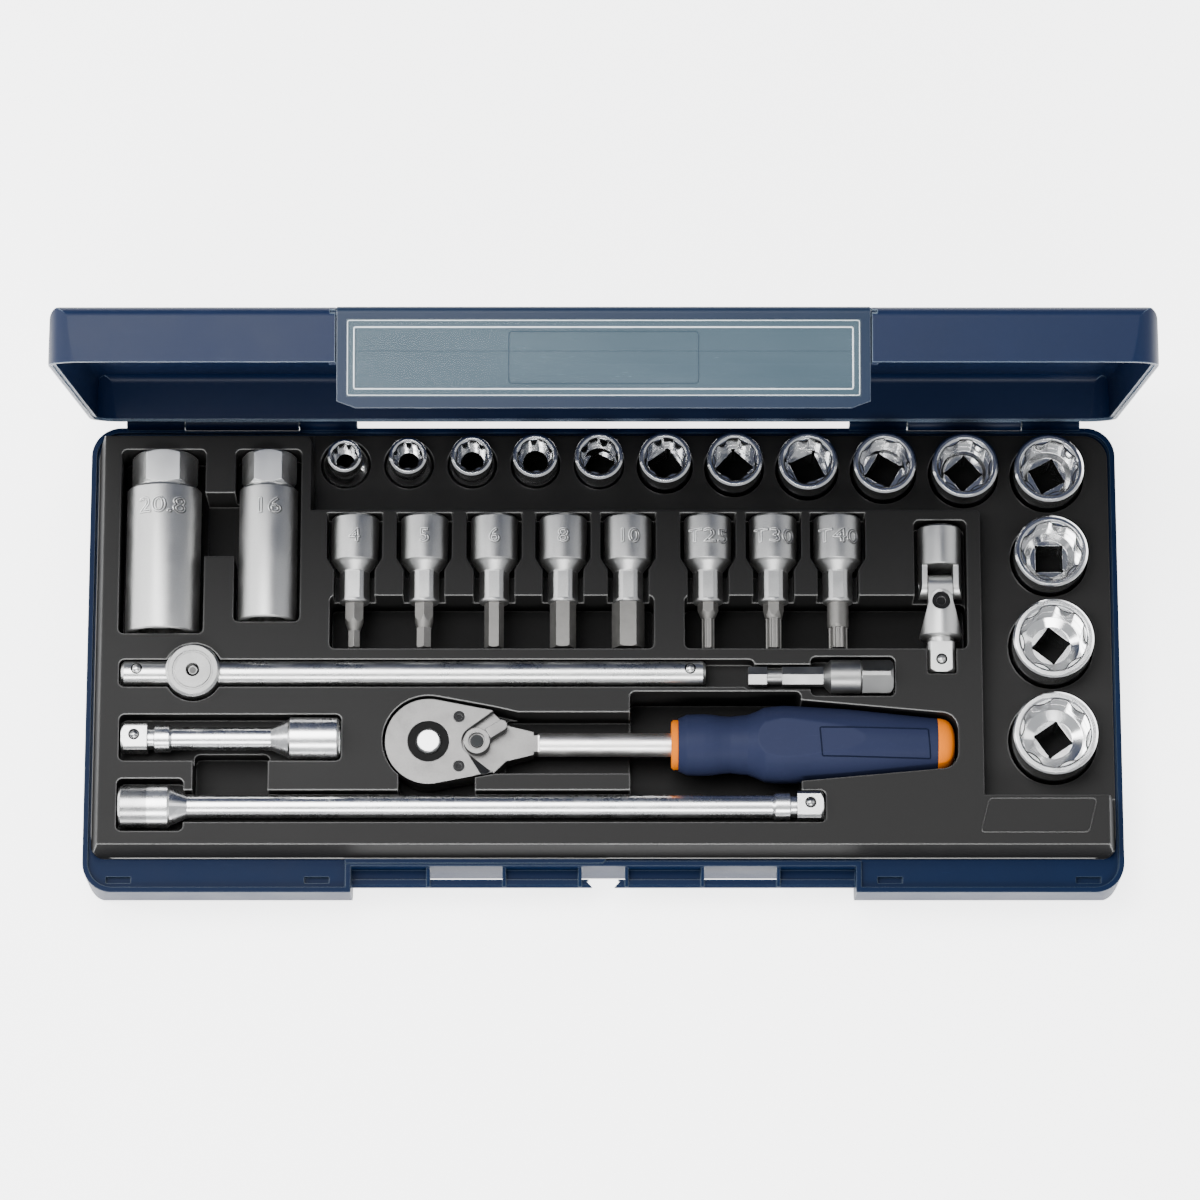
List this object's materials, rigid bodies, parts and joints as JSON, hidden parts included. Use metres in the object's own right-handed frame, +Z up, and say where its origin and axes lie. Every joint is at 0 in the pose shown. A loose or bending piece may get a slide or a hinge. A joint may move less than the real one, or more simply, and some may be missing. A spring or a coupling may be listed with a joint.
{
  "type": "socket wrench set in case",
  "caption": "Hinged flat case with a clear-windowed latch and a formed tray that holds a ratchet, sockets, bit sockets, extensions, a sliding bar and a universal joint.",
  "frame": {"origin": "centre of the base's underside, which lies on z = 0", "axes": "+Z up, +Y from the latch side towards the hinge, +X to the right seen from the latch side"},
  "size_m": [0.366, 0.1889, 0.1936],
  "materials": {
    "case_plastic": "fine grained, satin",
    "lid_plastic": "fine grained, satin",
    "latch_plastic": "satin",
    "tray_plastic": "fine grained, matte",
    "window_plastic": "clear, polished plastic",
    "hinge_steel": "plain drawn",
    "socket_chrome": "polished",
    "plug_chrome": "satin",
    "holder_chrome": "satin",
    "ujoint_chrome": "satin",
    "bar_chrome": "polished",
    "extension_chrome": "polished",
    "ratchet_chrome": "satin",
    "button_chrome": "polished",
    "bit_steel": "plain, slightly grey",
    "gear_steel": "blackened",
    "black_steel": "blackened",
    "black_rubber": "soft, matte",
    "grip_blue": "satin",
    "collar_orange": "satin"
  },
  "bodies": {
    "case": {"base_shell": "case_plastic", "tray": "tray_plastic", "socket_shelf": "tray_plastic", "hinge_pins": "hinge_steel"},
    "lid": {"lid_shell": "lid_plastic"},
    "latch": {"latch_flap": "latch_plastic", "latch_window": "window_plastic"},
    "socket_08_body": {"socket_08": "socket_chrome"},
    "socket_09_body": {"socket_09": "socket_chrome"},
    "socket_10_body": {"socket_10": "socket_chrome"},
    "socket_11_body": {"socket_11": "socket_chrome"},
    "socket_12_body": {"socket_12": "socket_chrome"},
    "socket_13_body": {"socket_13": "socket_chrome"},
    "socket_14_body": {"socket_14": "socket_chrome"},
    "socket_15_body": {"socket_15": "socket_chrome"},
    "socket_16_body": {"socket_16": "socket_chrome"},
    "socket_17_body": {"socket_17": "socket_chrome"},
    "socket_18_body": {"socket_18": "socket_chrome"},
    "socket_19_body": {"socket_19": "socket_chrome"},
    "socket_21_body": {"socket_21": "socket_chrome"},
    "socket_22_body": {"socket_22": "socket_chrome"},
    "plug_large_body": {"plug_socket_large": "plug_chrome", "plug_insert_large": "black_rubber"},
    "plug_small_body": {"plug_socket_small": "plug_chrome", "plug_insert_small": "black_rubber"},
    "bit_body_1": {"bit_holder_1": "holder_chrome", "hex_bit_4": "bit_steel"},
    "bit_body_2": {"bit_holder_2": "holder_chrome", "hex_bit_5": "bit_steel"},
    "bit_body_3": {"bit_holder_3": "holder_chrome", "hex_bit_6": "bit_steel"},
    "bit_body_4": {"bit_holder_4": "holder_chrome", "hex_bit_8": "bit_steel"},
    "bit_body_5": {"bit_holder_5": "holder_chrome", "hex_bit_10": "bit_steel"},
    "bit_body_6": {"bit_holder_6": "holder_chrome", "star_bit_25": "bit_steel"},
    "bit_body_7": {"bit_holder_7": "holder_chrome", "star_bit_30": "bit_steel"},
    "bit_body_8": {"bit_holder_8": "holder_chrome", "star_bit_40": "bit_steel"},
    "ujoint_lower": {"ujoint_drive": "ujoint_chrome"},
    "ujoint_middle": {"ujoint_block": "ujoint_chrome", "ujoint_pins": "black_steel"},
    "ujoint_upper": {"ujoint_socket": "ujoint_chrome"},
    "bar_head": {"sliding_head": "bar_chrome"},
    "bar": {"sliding_bar": "bar_chrome"},
    "short_extension": {"extension_short": "extension_chrome"},
    "long_extension": {"extension_long": "extension_chrome"},
    "adapter": {"bit_adapter": "holder_chrome"},
    "ratchet": {"ratchet_body": "ratchet_chrome", "ratchet_grip": "grip_blue", "grip_collar": "collar_orange", "grip_cap": "collar_orange", "gear_ring": "black_steel", "cover_screws": "black_steel"},
    "gear": {"drive_gear": "gear_steel"},
    "pawl": {"ratchet_pawl": "gear_steel"},
    "lever": {"reversing_lever": "ratchet_chrome"},
    "button": {"release_button": "button_chrome"}
  },
  "joints": [
    {"name": "lid_hinge", "type": "hinge", "parent": "case", "child": "lid", "pos_m": [0, 0.08655, 0.022], "axis": [-1, 0, 0], "range_deg": [-80.2, 20]},
    {"name": "latch_hinge", "type": "hinge", "parent": "lid", "child": "latch", "pos_m": [0, 0.07415, 0.19131], "axis": [-1, 0, 0], "range_deg": [0, 100]},
    {"name": "socket_08_lift", "type": "slide", "parent": "case", "child": "socket_08_body", "axis": [0, 0, 1], "range_m": [0, 0.045]},
    {"name": "socket_09_lift", "type": "slide", "parent": "case", "child": "socket_09_body", "axis": [0, 0, 1], "range_m": [0, 0.045]},
    {"name": "socket_10_lift", "type": "slide", "parent": "case", "child": "socket_10_body", "axis": [0, 0, 1], "range_m": [0, 0.045]},
    {"name": "socket_11_lift", "type": "slide", "parent": "case", "child": "socket_11_body", "axis": [0, 0, 1], "range_m": [0, 0.045]},
    {"name": "socket_12_lift", "type": "slide", "parent": "case", "child": "socket_12_body", "axis": [0, 0, 1], "range_m": [0, 0.045]},
    {"name": "socket_13_lift", "type": "slide", "parent": "case", "child": "socket_13_body", "axis": [0, 0, 1], "range_m": [0, 0.045]},
    {"name": "socket_14_lift", "type": "slide", "parent": "case", "child": "socket_14_body", "axis": [0, 0, 1], "range_m": [0, 0.045]},
    {"name": "socket_15_lift", "type": "slide", "parent": "case", "child": "socket_15_body", "axis": [0, 0, 1], "range_m": [0, 0.045]},
    {"name": "socket_16_lift", "type": "slide", "parent": "case", "child": "socket_16_body", "axis": [0, 0, 1], "range_m": [0, 0.045]},
    {"name": "socket_17_lift", "type": "slide", "parent": "case", "child": "socket_17_body", "axis": [0, 0, 1], "range_m": [0, 0.045]},
    {"name": "socket_18_lift", "type": "slide", "parent": "case", "child": "socket_18_body", "axis": [0, 0, 1], "range_m": [0, 0.045]},
    {"name": "socket_19_lift", "type": "slide", "parent": "case", "child": "socket_19_body", "axis": [0, 0, 1], "range_m": [0, 0.045]},
    {"name": "socket_21_lift", "type": "slide", "parent": "case", "child": "socket_21_body", "axis": [0, 0, 1], "range_m": [0, 0.045]},
    {"name": "socket_22_lift", "type": "slide", "parent": "case", "child": "socket_22_body", "axis": [0, 0, 1], "range_m": [0, 0.045]},
    {"name": "plug_large_lift", "type": "slide", "parent": "case", "child": "plug_large_body", "axis": [0, 0, 1], "range_m": [0, 0.045]},
    {"name": "plug_small_lift", "type": "slide", "parent": "case", "child": "plug_small_body", "axis": [0, 0, 1], "range_m": [0, 0.045]},
    {"name": "bit_1_lift", "type": "slide", "parent": "case", "child": "bit_body_1", "axis": [0, 0, 1], "range_m": [0, 0.045]},
    {"name": "bit_2_lift", "type": "slide", "parent": "case", "child": "bit_body_2", "axis": [0, 0, 1], "range_m": [0, 0.045]},
    {"name": "bit_3_lift", "type": "slide", "parent": "case", "child": "bit_body_3", "axis": [0, 0, 1], "range_m": [0, 0.045]},
    {"name": "bit_4_lift", "type": "slide", "parent": "case", "child": "bit_body_4", "axis": [0, 0, 1], "range_m": [0, 0.045]},
    {"name": "bit_5_lift", "type": "slide", "parent": "case", "child": "bit_body_5", "axis": [0, 0, 1], "range_m": [0, 0.045]},
    {"name": "bit_6_lift", "type": "slide", "parent": "case", "child": "bit_body_6", "axis": [0, 0, 1], "range_m": [0, 0.045]},
    {"name": "bit_7_lift", "type": "slide", "parent": "case", "child": "bit_body_7", "axis": [0, 0, 1], "range_m": [0, 0.045]},
    {"name": "bit_8_lift", "type": "slide", "parent": "case", "child": "bit_body_8", "axis": [0, 0, 1], "range_m": [0, 0.045]},
    {"name": "ujoint_lift", "type": "slide", "parent": "case", "child": "ujoint_lower", "axis": [0, 0, 1], "range_m": [0, 0.045]},
    {"name": "ujoint_yaw", "type": "hinge", "parent": "ujoint_lower", "child": "ujoint_middle", "pos_m": [0.1194, 0.018, 0.0263], "axis": [0, 0, 1], "range_deg": [-2.5, 2.5]},
    {"name": "ujoint_pitch", "type": "hinge", "parent": "ujoint_middle", "child": "ujoint_upper", "pos_m": [0.1194, 0.0246, 0.0263], "axis": [1, 0, 0], "range_deg": [0, 70]},
    {"name": "bar_lift", "type": "slide", "parent": "case", "child": "bar_head", "axis": [0, 0, 1], "range_m": [0, 0.045]},
    {"name": "bar_slide", "type": "slide", "parent": "bar_head", "child": "bar", "axis": [1, 0, 0], "range_m": [0, 0.008]},
    {"name": "short_extension_lift", "type": "slide", "parent": "case", "child": "short_extension", "axis": [0, 0, 1], "range_m": [0, 0.045]},
    {"name": "long_extension_lift", "type": "slide", "parent": "case", "child": "long_extension", "axis": [0, 0, 1], "range_m": [0, 0.045]},
    {"name": "adapter_lift", "type": "slide", "parent": "case", "child": "adapter", "axis": [0, 0, 1], "range_m": [0, 0.045]},
    {"name": "ratchet_lift", "type": "slide", "parent": "case", "child": "ratchet", "axis": [0, 0, 1], "range_m": [0, 0.045]},
    {"name": "gear_turn", "type": "hinge", "parent": "ratchet", "child": "gear", "pos_m": [-0.0615, -0.0323, 0.024], "axis": [0, 0, 1], "continuous": true},
    {"name": "lever_turn", "type": "hinge", "parent": "ratchet", "child": "lever", "pos_m": [-0.04445, -0.0323, 0.024], "axis": [0, 0, 1], "range_deg": [-64, 0]},
    {"name": "pawl_tilt", "type": "hinge", "parent": "ratchet", "child": "pawl", "pos_m": [-0.0465, -0.0323, 0.024], "axis": [0, 0, 1], "range_deg": [-4.5, 0]},
    {"name": "button_press", "type": "slide", "parent": "gear", "child": "button", "axis": [0, 0, 1], "range_m": [-0.0025, 0], "stiffness_N_per_m": 400, "springref_m": 0.002}
  ],
  "couplings": [
    {"joint": "pawl_tilt", "follows": "lever_turn", "ratio": 0.07}
  ]
}
